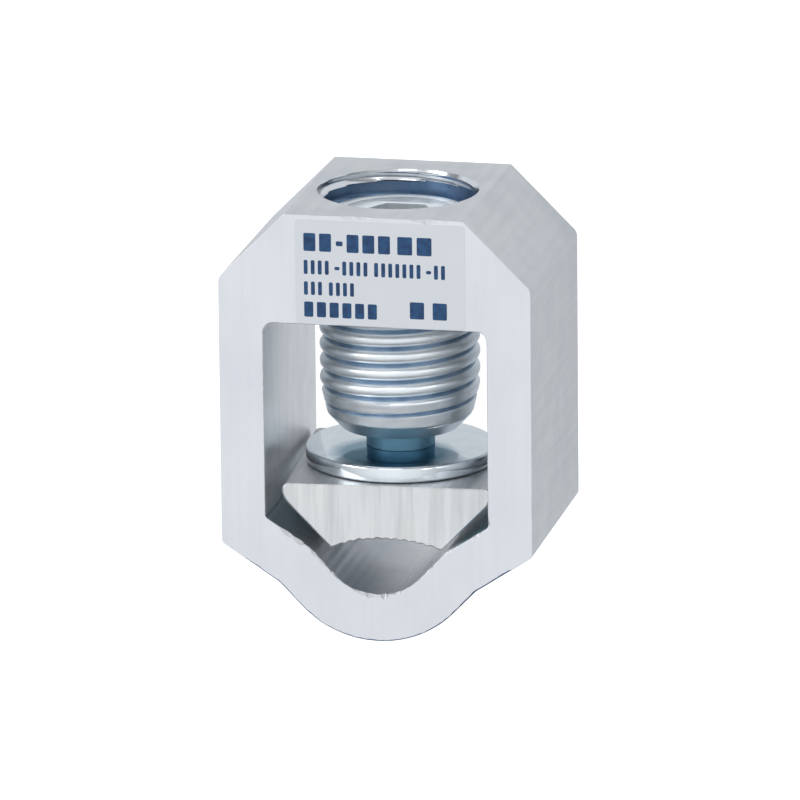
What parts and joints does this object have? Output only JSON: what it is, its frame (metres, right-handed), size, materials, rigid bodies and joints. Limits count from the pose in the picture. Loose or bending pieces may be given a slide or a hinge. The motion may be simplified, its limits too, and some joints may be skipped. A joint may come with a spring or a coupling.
{
  "type": "v-clamp terminal",
  "caption": "Box terminal for a cable conductor: an aluminium frame with a V seat, a socket screw and a swivelling pressure shoe that closes on the V",
  "frame": {"origin": "middle of the sawn rear face that the terminal lies on", "axes": "+Y along the clamping screw, towards its socket; +Z out of the front face, along the extrusion; +X across the window"},
  "size_m": [0.0274, 0.0379, 0.0207],
  "materials": {
    "frame_aluminium": "sawn faces, extruded sides",
    "zinc_steel": "zinc plated",
    "disc_steel": "bright zinc plated",
    "shoe_aluminium": "sawn faces, extruded sides"
  },
  "bodies": {
    "frame": {"clamp_frame": "frame_aluminium"},
    "thrust": {"thrust_disc": "disc_steel"},
    "screw": {"clamp_screw": "zinc_steel"},
    "shoe": {"pressure_shoe": "shoe_aluminium"}
  },
  "joints": [
    {"name": "screw_feed", "type": "slide", "parent": "frame", "child": "thrust", "axis": [0, 1, 0], "range_m": [-0.00025, 0.01275]},
    {"name": "screw_turn", "type": "hinge", "parent": "thrust", "child": "screw", "pos_m": [0, 0, 0.01035], "axis": [0, 1, 0], "range_deg": [-60, 3060]},
    {"name": "shoe_swivel", "type": "hinge", "parent": "thrust", "child": "shoe", "pos_m": [0, -0.0053, 0.01035], "axis": [0, 1, 0], "range_deg": [-7.6, 0.6]}
  ],
  "couplings": [
    {"joint": "screw_turn", "follows": "screw_feed", "rad_per_m": 4188.8}
  ]
}
